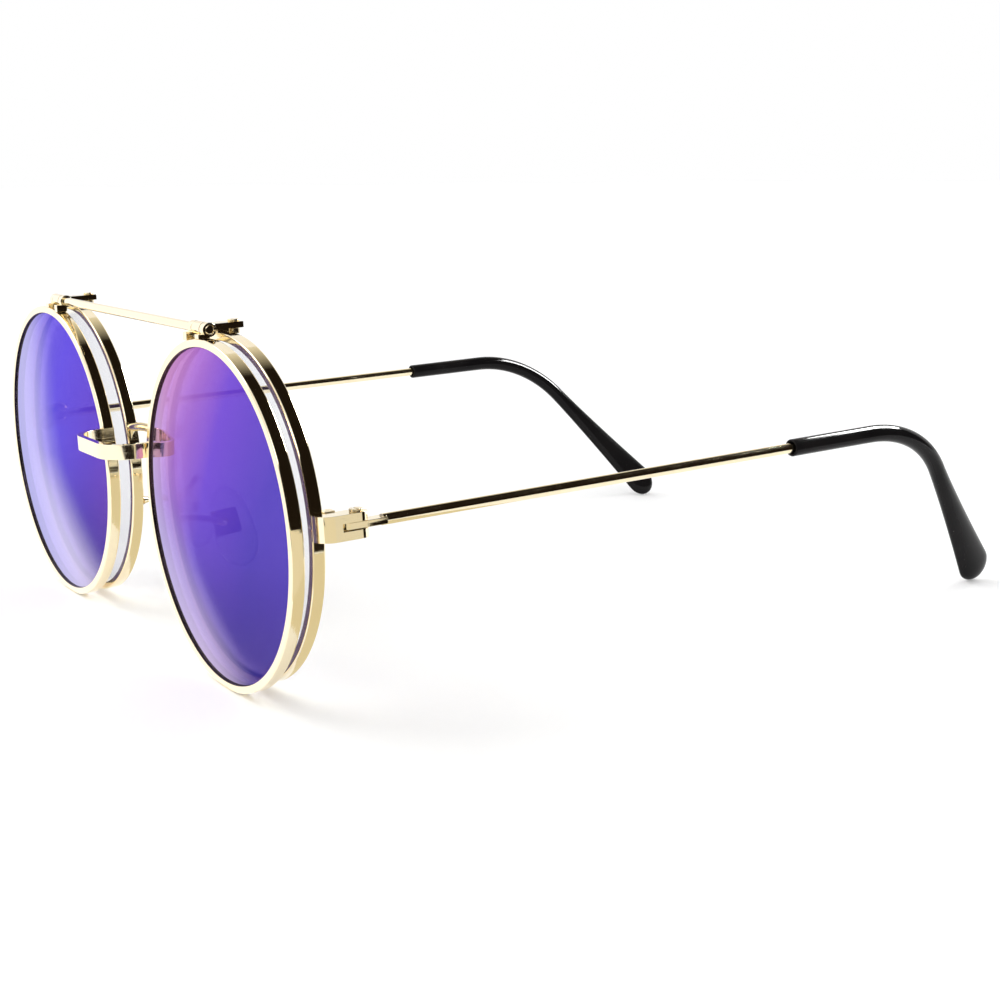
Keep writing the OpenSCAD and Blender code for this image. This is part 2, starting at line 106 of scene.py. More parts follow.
# a mesh of edges only, which the node trees read as a path or a section
def polyline(name, points, closed=False, widths=None):
    mesh = bpy.data.meshes.new(name)
    edges = [(i, i + 1) for i in range(len(points) - 1)]
    if closed:
        edges.append((len(points) - 1, 0))
    mesh.from_pydata([Vector(p).to_3d() for p in points], edges, [])
    if widths:
        mesh.attributes.new("thickness", "FLOAT", "POINT").data.foreach_set("value", widths)
    return mesh


# a closed skin through rings of equal count
def loftMesh(name, rings):
    mesh = bpy.data.meshes.new(name)
    count = len(rings[0])
    points = [p for ring in rings for p in ring]
    faces = []
    for i in range(len(rings) - 1):
        for j in range(count):
            k = (j + 1) % count
            faces.append((i * count + j, i * count + k, (i + 1) * count + k, (i + 1) * count + j))
    faces.append(tuple(range(count))[::-1])
    faces.append(tuple(range((len(rings) - 1) * count, len(rings) * count)))
    mesh.from_pydata(points, [], faces)
    return mesh


def joinMeshes(name, meshes):
    work = bmesh.new()
    for mesh in meshes:
        work.from_mesh(mesh)
    joined = bpy.data.meshes.new(name)
    work.to_mesh(joined)
    work.free()
    return joined


# node trees for shapes

def newShapeTree(name, inputs):
    tree = bpy.data.node_groups.new(name, "GeometryNodeTree")
    tree.interface.new_socket("Geometry", in_out="INPUT", socket_type="NodeSocketGeometry")
    for label, kind, value in inputs:
        socket = tree.interface.new_socket(label, in_out="INPUT", socket_type="NodeSocket" + kind)
        if value is not None:
            socket.default_value = value
    tree.interface.new_socket("Geometry", in_out="OUTPUT", socket_type="NodeSocketGeometry")
    return tree, tree.nodes.new("NodeGroupInput"), tree.nodes.new("NodeGroupOutput")


def finishShapeTree(tree, source, start, end):
    realize = tree.nodes.new("GeometryNodeRealizeInstances")
    paint = tree.nodes.new("GeometryNodeSetMaterial")
    tree.links.new(source, realize.inputs["Geometry"])
    tree.links.new(realize.outputs["Geometry"], paint.inputs["Geometry"])
    tree.links.new(start.outputs["Material"], paint.inputs["Material"])
    tree.links.new(paint.outputs["Geometry"], end.inputs["Geometry"])


# runs one tree on a mesh and keeps the result as a plain mesh
def runTree(name, mesh, tree, values):
    carrier = bpy.data.objects.new(name + "Draft", mesh)
    bpy.context.scene.collection.objects.link(carrier)
    modifier = carrier.modifiers.new("shape", "NODES")
    modifier.node_group = tree
    for item in tree.interface.items_tree:
        if item.in_out == "INPUT" and item.name in values:
            modifier[item.identifier] = values[item.name]
    shaped = carrier.evaluated_get(bpy.context.evaluated_depsgraph_get())
    result = bpy.data.meshes.new_from_object(shaped)
    result.name = name
    carrier.modifiers.remove(modifier)
    bpy.data.objects.remove(carrier)
    return result


# turns a closed section round Z
def buildRingTree():
    tree, start, end = newShapeTree("turnedRing", [
        ("Radius", "Float", 26.0), ("Segments", "Int", 192), ("Start Angle", "Float", 0.0),
        ("Sweep Angle", "Float", 2 * math.pi), ("Material", "Material", None),
    ])
    section = tree.nodes.new("GeometryNodeMeshToCurve")
    arc = tree.nodes.new("GeometryNodeCurveArc")
    sweep = tree.nodes.new("GeometryNodeCurveToMesh")
    tree.links.new(start.outputs["Geometry"], section.inputs["Mesh"])
    tree.links.new(start.outputs["Segments"], arc.inputs["Resolution"])
    for label in ("Radius", "Start Angle", "Sweep Angle"):
        tree.links.new(start.outputs[label], arc.inputs[label])
    tree.links.new(arc.outputs["Curve"], sweep.inputs["Curve"])
    tree.links.new(section.outputs["Curve"], sweep.inputs["Profile Curve"])
    sweep.inputs["Fill Caps"].default_value = False
    finishShapeTree(tree, sweep.outputs["Mesh"], start, end)
    return tree


# a round rod along a path, as thick at each point as its thickness attribute says
def buildRodTree():
    tree, start, end = newShapeTree("bentRod", [("Sides", "Int", 24), ("Material", "Material", None)])
    path = tree.nodes.new("GeometryNodeMeshToCurve")
    circle = tree.nodes.new("GeometryNodeCurvePrimitiveCircle")
    thickness = tree.nodes.new("GeometryNodeInputNamedAttribute")
    sweep = tree.nodes.new("GeometryNodeCurveToMesh")
    thickness.data_type = "FLOAT"
    thickness.inputs["Name"].default_value = "thickness"
    circle.inputs["Radius"].default_value = 0.5  # so that the thickness is a diameter
    tree.links.new(start.outputs["Geometry"], path.inputs["Mesh"])
    tree.links.new(start.outputs["Sides"], circle.inputs["Resolution"])
    tree.links.new(path.outputs["Curve"], sweep.inputs["Curve"])
    tree.links.new(circle.outputs["Curve"], sweep.inputs["Profile Curve"])
    tree.links.new(thickness.outputs["Attribute"], sweep.inputs["Scale"])
    sweep.inputs["Fill Caps"].default_value = True
    finishShapeTree(tree, sweep.outputs["Mesh"], start, end)
    return tree


ringTree = buildRingTree()
rodTree = buildRodTree()


# node groups for surfaces

def newGroup(name, inputs, outputs):
    group = bpy.data.node_groups.new(name, "ShaderNodeTree")
    for label, kind, value in inputs:
        socket = group.interface.new_socket(label, in_out="INPUT", socket_type="NodeSocket" + kind)
        socket.default_value = value
    for label, kind in outputs:
        group.interface.new_socket(label, in_out="OUTPUT", socket_type="NodeSocket" + kind)
    return group, group.nodes.new("NodeGroupInput"), group.nodes.new("NodeGroupOutput")


# each value goes to the input of that name, or else to the node's own setting
def addNode(tree, kind, **values):
    node = tree.nodes.new("ShaderNode" + kind)
    for key, value in values.items():
        if key in node.inputs:
            node.inputs[key].default_value = value
        else:
            setattr(node, key, value)
    return node


# gives a socket a plain number, a plain colour or a link
def feed(tree, socket, value):
    if isinstance(value, (int, float)):
        socket.default_value = value
    elif isinstance(value, tuple):
        socket.default_value = (*value, 1)
    else:
        tree.links.new(value, socket)


def mathNode(tree, operation, first, second):
    node = addNode(tree, "Math", operation=operation)
    feed(tree, node.inputs[0], first)
    feed(tree, node.inputs[1], second)
    return node.outputs[0]


def mapRange(tree, value, low, high, toLow, toHigh, smooth=False):
    node = addNode(tree, "MapRange", interpolation_type="SMOOTHSTEP" if smooth else "LINEAR")
    for label, given in (
        ("Value", value), ("From Min", low), ("From Max", high), ("To Min", toLow), ("To Max", toHigh),
    ):
        feed(tree, node.inputs[label], given)
    return node.outputs["Result"]


# the mix node's input 0 is its factor, 6 and 7 are its two colours, and its output 2 is their mix
def mixColours(tree, factor, first, second):
    node = addNode(tree, "Mix", data_type="RGBA")
    for slot, value in ((0, factor), (6, first), (7, second)):
        feed(tree, node.inputs[slot], value)
    return node.outputs[2]


def objectPlace(tree):
    return addNode(tree, "TexCoord").outputs["Object"]


bumpDepth = 0.00002  # metres


def bumpFrom(tree, shader, height, strength):
    bump = addNode(tree, "Bump", Strength=strength, Distance=bumpDepth)
    tree.links.new(height, bump.inputs["Height"])
    tree.links.new(bump.outputs["Normal"], shader.inputs["Normal"])


def showShader(tree, output):
    tree.links.new(output, tree.nodes["Material Output"].inputs["Surface"])


# scratches run three ways, each with its own stretch of the noise and its own turn; a mark starts where
# the noise passes from, and is full at to
scratchMap = {
    "ways": (((900, 40, 60), 0.0), ((60, 50, 1300), 0.6), ((300, 1500, 40), -0.5)), "sideTurn": 0.7,
    "scale": 6.0, "detail": 3.0, "roughness": 0.6, "from": 0.56, "to": 0.66,
}
smudgeMap = {
    "scale": 90.0, "detail": 4.0, "roughness": 0.55, "distortion": 0.6, "from": 0.35, "to": 0.7,
    "dustFiner": 30.0, "dustDetail": 2.0, "dustRoughness": 0.5, "dustFrom": 0.72, "dustTo": 0.8,
}


# fine polishing and handling scratches: a height for a bump and a mask
def buildHairlines():
    group, start, end = newGroup(
        "polishHairlines",
        [("Vector", "Vector", (0, 0, 0)), ("Scale", "Float", 1.0), ("Amount", "Float", 0.5)],
        [("Height", "Float"), ("Mask", "Float")],
    )
    heights = []
    for stretch, angle in scratchMap["ways"]:
        place = addNode(group, "Mapping")
        place.inputs["Scale"].default_value = stretch
        place.inputs["Rotation"].default_value = (angle, angle * scratchMap["sideTurn"], -angle)
        noise = addNode(group, "TexNoise", Detail=scratchMap["detail"], Roughness=scratchMap["roughness"])
        scale = mathNode(group, "MULTIPLY", start.outputs["Scale"], scratchMap["scale"])
        group.links.new(start.outputs["Vector"], place.inputs["Vector"])
        group.links.new(place.outputs["Vector"], noise.inputs["Vector"])
        group.links.new(scale, noise.inputs["Scale"])
        heights.append(mapRange(group, noise.outputs["Fac"], scratchMap["from"], scratchMap["to"], 0.0, 1.0))
    both = mathNode(group, "MAXIMUM", mathNode(group, "MAXIMUM", heights[0], heights[1]), heights[2])
    mask = mathNode(group, "MULTIPLY", both, start.outputs["Amount"])
    group.links.new(mathNode(group, "MULTIPLY", mask, -1.0), end.inputs["Height"])
    group.links.new(mask, end.inputs["Mask"])
    return group


# soft patches left by fingers and cloth, and a little dust in specks
def buildSmudges():
    group, start, end = newGroup(
        "handlingSmudges",
        [("Vector", "Vector", (0, 0, 0)), ("Scale", "Float", 1.0)],
        [("Smudge", "Float"), ("Dust", "Float")],
    )
    scale = mathNode(group, "MULTIPLY", start.outputs["Scale"], smudgeMap["scale"])
    broad = addNode(
        group, "TexNoise",
        Detail=smudgeMap["detail"], Roughness=smudgeMap["roughness"], Distortion=smudgeMap["distortion"],
    )
    fine = addNode(group, "TexNoise", Detail=smudgeMap["dustDetail"], Roughness=smudgeMap["dustRoughness"])
    group.links.new(start.outputs["Vector"], broad.inputs["Vector"])
    group.links.new(start.outputs["Vector"], fine.inputs["Vector"])
    group.links.new(scale, broad.inputs["Scale"])
    group.links.new(mathNode(group, "MULTIPLY", scale, smudgeMap["dustFiner"]), fine.inputs["Scale"])
    smudge = mapRange(group, broad.outputs["Fac"], smudgeMap["from"], smudgeMap["to"], 0.0, 1.0)
    dust = mapRange(group, fine.outputs["Fac"], smudgeMap["dustFrom"], smudgeMap["dustTo"], 0.0, 1.0)
    group.links.new(smudge, end.inputs["Smudge"])
    group.links.new(dust, end.inputs["Dust"])
    return group


hairlines = buildHairlines()
smudges = buildSmudges()


def newMaterial(name):
    material = bpy.data.materials.new(name)
    material.use_nodes = True
    return material, material.node_tree, material.node_tree.nodes["Principled BSDF"]


# lays the shared scratches, smudges and dust over a shader, as its look says; a colour that comes with the
# call takes the place of the look's own two
def wearSurface(tree, shader, look, colour=None):
    where = objectPlace(tree)
    lines = addNode(tree, "Group", node_tree=hairlines)
    lines.inputs["Scale"].default_value = look["lineScale"]
    lines.inputs["Amount"].default_value = look["lines"]
    patches = addNode(tree, "Group", node_tree=smudges)
    patches.inputs["Scale"].default_value = look["smudgeScale"]
    tree.links.new(where, lines.inputs["Vector"])
    tree.links.new(where, patches.inputs["Vector"])
    smudge = patches.outputs["Smudge"]
    if colour is None:
        share = mathNode(tree, "MULTIPLY", smudge, look["warmShare"])
        colour = mixColours(tree, share, look["colour"], look["warmColour"])
    if "dust" in look:
        share = mathNode(tree, "MULTIPLY", patches.outputs["Dust"], look["dust"])
        colour = mixColours(tree, share, colour, look["dustColour"])
    tree.links.new(colour, shader.inputs["Base Color"])
    rough = mapRange(tree, smudge, 0.0, 1.0, look["rough"], look["rough"] * look["smudgeRough"])
    if "lineRough" in look:
        added = mathNode(tree, "MULTIPLY", lines.outputs["Mask"], look["lineRough"])
        rough = mathNode(tree, "ADD", rough, added)
    tree.links.new(rough, shader.inputs["Roughness"])
    bumpFrom(tree, shader, lines.outputs["Height"], look["bump"])


def buildMetal(name, look):
    material, tree, shader = newMaterial(name)
    wearSurface(tree, shader, look)
    shader.inputs["Metallic"].default_value = 1.0
    return material


# smudges make a surface smudgeRough times as rough, and scratches add lineRough where a look has it
goldLook = {
    "colour": (0.95, 0.84, 0.60), "warmColour": (0.92, 0.78, 0.52), "warmShare": 0.5,
    "dust": 0.25, "dustColour": (0.9, 0.88, 0.82), "rough": 0.04, "smudgeRough": 1.9, "lineRough": 0.12,
    "lines": 0.35, "lineScale": 1.0, "smudgeScale": 1.0, "bump": 0.12,
}
satinLook = dict(
    goldLook, rough=0.2, lines=0.6, bump=0.25, colour=(0.93, 0.82, 0.6), warmColour=(0.88, 0.74, 0.5),
)
screwLook = dict(
    goldLook, rough=0.12, lines=0.9, bump=0.4, colour=(0.88, 0.77, 0.54), warmColour=(0.7, 0.58, 0.38),
)
# dark gold painted on the rims' inner walls as shade: it stands in for the shadow in the gap between rim and
# lens
shadedWallLook = dict(
    goldLook, rough=0.22, lines=0.4, colour=(0.055, 0.045, 0.03), warmColour=(0.04, 0.03, 0.02),
)
polishedGold = buildMetal("polishedGold", goldLook)
satinGold = buildMetal("satinGold", satinLook)
screwGold = buildMetal("screwGold", screwLook)
shadedWallGold = buildMetal("shadedWallGold", shadedWallLook)


# one run of colour across both lenses, each with its own half of it, with deep violet below and a painted
# glare:
# the colour turns whitish where the lens is seen at a low angle
def buildMirrorCoat(look):
    material, tree, shader = newMaterial("mirrorCoat")
    where = objectPlace(tree)
    split = addNode(tree, "SeparateXYZ")
    tree.links.new(where, split.inputs[0])
    sway = addNode(tree, "TexNoise", Scale=look["swayScale"], Detail=1.0)
    tree.links.new(where, sway.inputs["Vector"])
    wave = mapRange(tree, sway.outputs["Fac"], *look["swayRange"], -look["sway"], look["sway"])
    across = mathNode(tree, "ADD", mapRange(tree, split.outputs["X"], *look["spanX"], 0.0, 1.0), wave)
    upward = mapRange(tree, split.outputs["Z"], *look["spanZ"], 0.0, 1.0)
    leaned = mathNode(tree, "MULTIPLY", mathNode(tree, "SUBTRACT", upward, 0.5), look["tilt"])
    ramp = addNode(tree, "ValToRGB")
    tree.links.new(mathNode(tree, "SUBTRACT", across, leaned), ramp.inputs["Fac"])
    stops = ramp.color_ramp.elements
    while len(stops) < len(look["stops"]):
        stops.new(0.5)
    for stop, (place, colour) in zip(stops, look["stops"]):
        stop.position = place
        stop.color = (*colour, 1)
    low = mapRange(tree, upward, 0.0, look["belowTo"], 1.0, 0.0, smooth=True)
    low = mathNode(tree, "MULTIPLY", low, look["belowShare"])
    colour = mixColours(tree, low, ramp.outputs["Color"], look["below"])
    # painted glare: the colour is mixed towards a whitish one by the angle at which the lens is seen, more
    # so lower down and on the far lens
    angle = addNode(tree, "LayerWeight", Blend=0.5)
    lower = mathNode(tree, "MAXIMUM", mathNode(tree, "SUBTRACT", 0.5, upward), 0.0)
    lower = mathNode(tree, "MULTIPLY", lower, look["glareLean"])
    facing = mathNode(tree, "ADD", angle.outputs["Facing"], lower)
    lift = mapRange(tree, across, 0.0, look["farLiftTo"], look["farLift"], 0.0)
    facing = mathNode(tree, "ADD", facing, lift)
    paintedGlare = mapRange(tree, facing, look["glareFrom"], look["glareTo"], 0.0, look["glare"], smooth=True)
    glareTone = mixColours(tree, across, look["farGlare"], look["nearGlare"])
    colour = mixColours(tree, paintedGlare, colour, glareTone)
    behind = addNode(tree, "NewGeometry").outputs["Backfacing"]
    colour = mixColours(tree, behind, colour, look["back"])
    wearSurface(tree, shader, look, colour)
    shader.inputs["Metallic"].default_value = look["metallic"]
    shader.inputs["Specular Tint"].default_value = (*look["edgeTint"], 1)
    shader.inputs["Alpha"].default_value = look["alpha"]
    return material


# spans are in metres; as the camera stands, far is the right lens and near the left one
mirrorLook = {
    "stops": [
        (0.04, (0.16, 0.10, 0.66)), (0.20, (0.105, 0.055, 0.70)),
        (0.34, (0.10, 0.035, 0.50)), (0.46, (0.16, 0.04, 0.40)),
        (0.59, (0.85, 0.38, 0.55)), (0.67, (0.46, 0.16, 0.54)),
        (0.78, (0.16, 0.05, 0.58)), (0.94, (0.058, 0.03, 0.43)),
    ],
    "spanX": (-0.060, 0.060), "spanZ": (0.001, 0.051), "tilt": 0.24,
    "sway": 0.03, "swayScale": 22.0, "swayRange": (0.3, 0.7),
    "below": (0.010, 0.003, 0.125), "belowTo": 0.62, "belowShare": 0.9, "back": (0.012, 0.010, 0.014),
    # the glare values set the painted glare: where it starts and is full, how it leans down, its lift on the
    # far lens, and its colours
    "glareFrom": 0.685, "glareTo": 0.84, "glareLean": 0.2, "glare": 0.95, "farLift": 0.04, "farLiftTo": 0.6,
    "farGlare": (0.97, 0.94, 0.96), "nearGlare": (1.0, 0.76, 0.80), "edgeTint": (0.5, 0.5, 0.9),
    "metallic": 0.95, "alpha": 0.74, "rough": 0.02, "smudgeRough": 2.5,
    "lines": 0.2, "lineScale": 0.6, "smudgeScale": 0.7, "bump": 0.03,
}
mirrorCoat = buildMirrorCoat(mirrorLook)


# the dark tinted back of a mirror lens, half see-through
def buildSmoke(look):
    material, tree, shader = newMaterial("smokedBack")
    wearSurface(tree, shader, look)
    through = addNode(tree, "BsdfTransparent", Color=(*look["tint"], 1))
    mix = addNode(tree, "MixShader")
    mix.inputs[0].default_value = look["alpha"]
    tree.links.new(through.outputs[0], mix.inputs[1])
    tree.links.new(shader.outputs[0], mix.inputs[2])
    showShader(tree, mix.outputs[0])
    return material


smokeLook = {
    "colour": (0.02, 0.018, 0.03), "warmColour": (0.03, 0.022, 0.03), "warmShare": 1.0,
    "tint": (0.55, 0.40, 1.0), "alpha": 0.5, "rough": 0.04, "smudgeRough": 3.0,
    "lines": 0.2, "lineScale": 0.6, "smudgeScale": 0.7, "bump": 0.03,
}
smokedBack = buildSmoke(smokeLook)


# clear plastic or glass whose shadow stays light
def buildClear(name, look):
    material, tree, shader = newMaterial(name)
    wearSurface(tree, shader, look)
    shader.inputs["Transmission Weight"].default_value = 1.0
    shader.inputs["IOR"].default_value = look["ior"]
    ray = addNode(tree, "LightPath")
    passing = addNode(tree, "BsdfTransparent", Color=(*look["shadowTint"], 1))
    mix = addNode(tree, "MixShader")
    tree.links.new(ray.outputs["Is Shadow Ray"], mix.inputs[0])
    tree.links.new(shader.outputs[0], mix.inputs[1])
    tree.links.new(passing.outputs[0], mix.inputs[2])
    showShader(tree, mix.outputs[0])
    return material


glassLook = {
    "colour": (0.97, 0.98, 0.98), "warmColour": (0.95, 0.96, 0.97), "warmShare": 1.0,
    "shadowTint": (0.93, 0.93, 0.94), "ior": 1.5, "rough": 0.004, "smudgeRough": 2.0,
    "lines": 0.15, "lineScale": 0.6, "smudgeScale": 0.7, "bump": 0.02,
}
padLook = dict(
    glassLook, colour=(0.93, 0.95, 0.96), warmColour=(0.9, 0.91, 0.9),
    rough=0.08, ior=1.42, lines=0.4, bump=0.15,
)
clearGlass = buildClear("clearGlass", glassLook)
padPlastic = buildClear("padPlastic", padLook)


def buildTipPlastic(look):
    material, tree, shader = newMaterial("tipPlastic")
    wearSurface(tree, shader, look)
    shader.inputs["IOR"].default_value = look["ior"]
    shader.inputs["Specular IOR Level"].default_value = look["gloss"]
    return material


tipLook = {
    "colour": (0.006, 0.0055, 0.006), "warmColour": (0.011, 0.010, 0.010), "warmShare": 1.0,
    "dust": 0.5, "dustColour": (0.16, 0.15, 0.14), "ior": 1.45, "gloss": 0.12,
    "rough": 0.045, "smudgeRough": 2.2, "lineRough": 0.1,
    "lines": 0.3, "lineScale": 0.7, "smudgeScale": 1.0, "bump": 0.08,
}
tipPlastic = buildTipPlastic(tipLook)
print("materials ready")


# rims

# the dark gold on each rim's inner wall is painted shade for the shadowed gap between wall and lens; the
# number just before the cut's height is how far it reaches past the inner radius; the cut is the thin gap in
# each rear rim that its block closes
rims = {
    "outer": 26.0, "inner": 24.85, "depth": 2.0, "corner": 0.26, "innerCorner": 0.12, "lipCorner": 0.05,
    "groove": 0.5, "grooveHalf": 0.63, "cornerSteps": 6, "edgeRun": 0.02, "segments": 257,
    "wallShadeReach": 0.03, "cutHeight": 1.9, "cutHalf": 0.03,
    "rear": {"x": 33.7, "z": 26.0, "back": 0.0}, "front": {"x": 34.8, "z": 25.5, "back": -3.65},
}


# the closed outline of the wall, rounded at its corners, with the groove for the lens inside
def roundedSection(values):
    wall = values["outer"] - values["inner"]
    depth = values["depth"]
    lowLip, highLip = depth / 2 - values["grooveHalf"], depth / 2 + values["grooveHalf"]
    floor = -wall + values["groove"]
    corners = [
        ((0, 0), values["corner"]), ((0, depth), values["corner"]), ((-wall, depth), values["innerCorner"]),
        ((-wall, highLip), values["lipCorner"]), ((floor, highLip), 0.0), ((floor, lowLip), 0.0),
        ((-wall, lowLip), values["lipCorner"]), ((-wall, 0), values["innerCorner"]),
    ]
    run, steps = values["edgeRun"], values["cornerSteps"]
    points = []
    for i, (corner, radius) in enumerate(corners):
        here = Vector(corner)
        toLast = (Vector(corners[i - 1][0]) - here).normalized()
        toNext = (Vector(corners[(i + 1) % len(corners)][0]) - here).normalized()
        if radius == 0:
            points += [here + toLast * run, here, here + toNext * run]
            continue
        centre = here + (toLast + toNext) * radius
        points.append(here + toLast * (radius + run))
        for step in range(steps + 1):
            a = math.pi / 2 * step / steps
            points.append(centre - toNext * radius * math.cos(a) - toLast * radius * math.sin(a))
        points.append(here + toNext * (radius + run))
    return points


# closes the two faces of the cut
def closeEnds(mesh):
    work = bmesh.new()
    work.from_mesh(mesh)
    bmesh.ops.remove_doubles(work, verts=work.verts, dist=joinWithin["drawn"])
    bmesh.ops.holes_fill(work, edges=[e for e in work.edges if e.is_boundary], sides=0)
    work.to_mesh(mesh)
    work.free()


def makeRim(layer, side):
    spot = rims[layer]
    rimName = layer + "Rim" + side.title()
    section = polyline("rimSection", [(p.x, -p.y, 0) for p in roundedSection(rims)], closed=True)
    begin, sweep = 0.0, 2 * math.pi
    if layer == "rear":
        cut = math.asin(rims["cutHeight"] / rims["outer"])
        half = math.asin(rims["cutHalf"] / rims["outer"])
        begin, sweep = cut + half, 2 * math.pi - 2 * half
    mesh = runTree(rimName, section, ringTree, {
        "Radius": rims["outer"], "Segments": rims["segments"], "Start Angle": begin,
        "Sweep Angle": sweep, "Material": polishedGold,
    })
    if layer == "rear":
        closeEnds(mesh)
    # the inner wall's faces take the dark gold of painted shade
    mesh.materials.append(shadedWallGold)
    for face in mesh.polygons:
        if math.hypot(face.center.x, face.center.y) < rims["inner"] + rims["wallShadeReach"]:
            face.material_index = 1
    place = Matrix.Translation((spot["x"], spot["back"], spot["z"])) @ turn(90, "X")
    settle(mesh, place, bothSides[side])
    rim = newPiece(rimName, mesh)
    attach(rim, "frame" if layer == "rear" else "flip_front")
    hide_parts(f"{layer}_rim_{side}")


for sideName in bothSides:
    for layerName in ("rear", "front"):
        makeRim(layerName, sideName)
print("rims turned")


# lenses

# curve is the radius of the dome, and edge the width of the small slope round each face
lenses = {
    "radius": 25.3, "curve": 180.0, "thickness": 1.1, "sag": 1.7869, "edge": 0.04,
    "rings": 26, "around": 128, "sharp": 35,
}


# a thin dome; a front lens has its first material in front and round its edge, and its second behind
def makeLens(layer, side):
    spot = rims[layer]
    radius, edge, around = lenses["radius"], lenses["edge"], lenses["around"]
    surfaces = []
    for grow in (1, -1):
        surface = []
        for i in range(lenses["rings"] + 1):
            r = (radius - edge) * math.sqrt(i / lenses["rings"]) if i else 0
            sphere = lenses["curve"] + lenses["thickness"] / 2 * grow
            surface.append((r, lenses["curve"] - lenses["sag"] - math.sqrt(sphere * sphere - r * r)))
        surfaces.append(surface)
    before, behind = surfaces
    outline = before + [(radius, before[-1][1] + edge), (radius, behind[-1][1] - edge)] + behind[::-1]
    mesh = bpy.data.meshes.new(layer + "Lens" + side.title())
    work = bmesh.new()
    rings = []
    for r, y in outline:
        angles = circleAngles(around) if r else [0]
        rings.append([work.verts.new((r * math.cos(a), y, r * math.sin(a))) for a in angles])
    for row, (one, two) in enumerate(zip(rings, rings[1:])):
        for j in range(around):
            k = (j + 1) % around
            corners = [one[j % len(one)], one[k % len(one)], two[k % len(two)], two[j % len(two)]]
            face = work.faces.new(list(dict.fromkeys(corners)))
            face.material_index = 1 if layer == "front" and row > lenses["rings"] + 1 else 0
    work.to_mesh(mesh)
    work.free()
    place = Matrix.Translation((spot["x"], spot["back"] - rims["depth"] / 2, spot["z"]))
    settle(mesh, place, bothSides[side])
    markSharp(mesh, lenses["sharp"])
    lens = newPiece(layer + "Lens" + side.title(), mesh)
    if layer == "front":
        mesh.materials.append(mirrorCoat)
        mesh.materials.append(smokedBack)
        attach(lens, "flip_front")
        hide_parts(f"mirror_lens_{side}")
    else:
        mesh.materials.append(clearGlass)
        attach(lens, "frame")
        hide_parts(f"clear_lens_{side}")


for sideName in bothSides:
    for layerName in ("rear", "front"):
        makeLens(layerName, sideName)
print("lenses set")


# small metal parts, taken from their solids with softened edges

# each part has the width of its soft edge in metres and its metal, and a part of both sides stands here
# once; angles are in degrees
softened = {
    "steps": 3, "angle": 32, "flat": 0.3, "sharp": 40,
    "parts": {
        "rear_bridge": (0.00010, polishedGold), "front_bridge": (0.00022, polishedGold),
        "brow_bar": (0.0002, polishedGold), "end_piece": (0.00018, polishedGold),
        "rim_lock": (0.00016, satinGold), "flip_leaf": (0.00013, polishedGold),
        "flip_lugs": (0.00010, polishedGold), "pad_box": (0.00010, satinGold),
        "temple_wire": (0.00012, polishedGold), "leaf_rivets": (0.00008, screwGold),
        "lock_screws": (0.00008, screwGold), "pad_screws": (0.00008, screwGold),
        "hinge_screws": (0.00007, screwGold),
    },
}


# a copy of a solid, its flat faces made whole and its sharp edges rounded
def soften(name, edge, material):
    plainName = name.title().replace("_", "")
    mesh = nodes[name].data.copy()
    mesh.name = plainName
    work = bmesh.new()
    work.from_mesh(mesh)
    bmesh.ops.remove_doubles(work, verts=work.verts, dist=joinWithin["solid"])
    bmesh.ops.dissolve_limit(
        work, angle_limit=math.radians(softened["flat"]), use_dissolve_boundaries=False,
        verts=work.verts, edges=work.edges,
    )
    bmesh.ops.recalc_face_normals(work, faces=work.faces)
    for face in work.faces:
        face.smooth = True
    clean = bpy.data.meshes.new(mesh.name)
    work.to_mesh(clean)
    work.free()
    bpy.data.meshes.remove(mesh)
    part = newPiece(plainName + "Soft", clean, material)
    bevel = part.modifiers.new("edges", "BEVEL")
    bevel.width = edge
    bevel.segments = softened["steps"]
    bevel.limit_method = "ANGLE"
    bevel.angle_limit = math.radians(softened["angle"])
    bevel.harden_normals = True
    markSharp(clean, softened["sharp"])
    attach(part, bodyOf[name])
    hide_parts(name)


for partName, (edgeSize, partMaterial) in softened["parts"].items():
    partNodes = [partName] if partName in nodes else [f"{partName}_{sideName}" for sideName in bothSides]
    for nodeName in partNodes:
        soften(nodeName, edgeSize, partMaterial)
print("metal parts softened")


# pad arms

# start, in, out and end are the points of the wire's curve; the solder swells it near its start
padArm = {
    "start": (8.99311, 0.02, 20.0), "in": (8.99311, 5.02, 20.0), "out": (14.2963, 5.43752, 18.6949),
    "end": (9.67602, 7.38055, 18.4994), "wire": 1.0, "solder": 1.5, "solderReach": 0.45,
    "steps": 40, "sides": 24, "sharp": 50,
}


def makePadArm(side):
    points, widths = [], []
    a, b, c, d = (Vector(padArm[key]) for key in ("start", "in", "out", "end"))
    for i in range(padArm["steps"] + 1):
        t = i / padArm["steps"]
        points.append(a * (1 - t) ** 3 + b * 3 * t * (1 - t) ** 2 + c * 3 * t * t * (1 - t) + d * t ** 3)
        swell = math.exp(-(((points[-1] - a).length / padArm["solderReach"]) ** 2))
        widths.append(padArm["wire"] + (padArm["solder"] - padArm["wire"]) * swell)
    path = polyline("armPath", points, widths=widths)
    mesh = runTree("padArm" + side.title(), path, rodTree, {
        "Sides": padArm["sides"], "Material": polishedGold,
    })
    settle(mesh, None, bothSides[side])
    markSharp(mesh, padArm["sharp"])
    arm = newPiece("padArm" + side.title(), mesh, polishedGold)
    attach(arm, bodyOf[f"pad_arm_{side}"])
    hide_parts(f"pad_arm_{side}")


for sideName in bothSides:
    makePadArm(sideName)
print("pad arms bent")


# nose pads

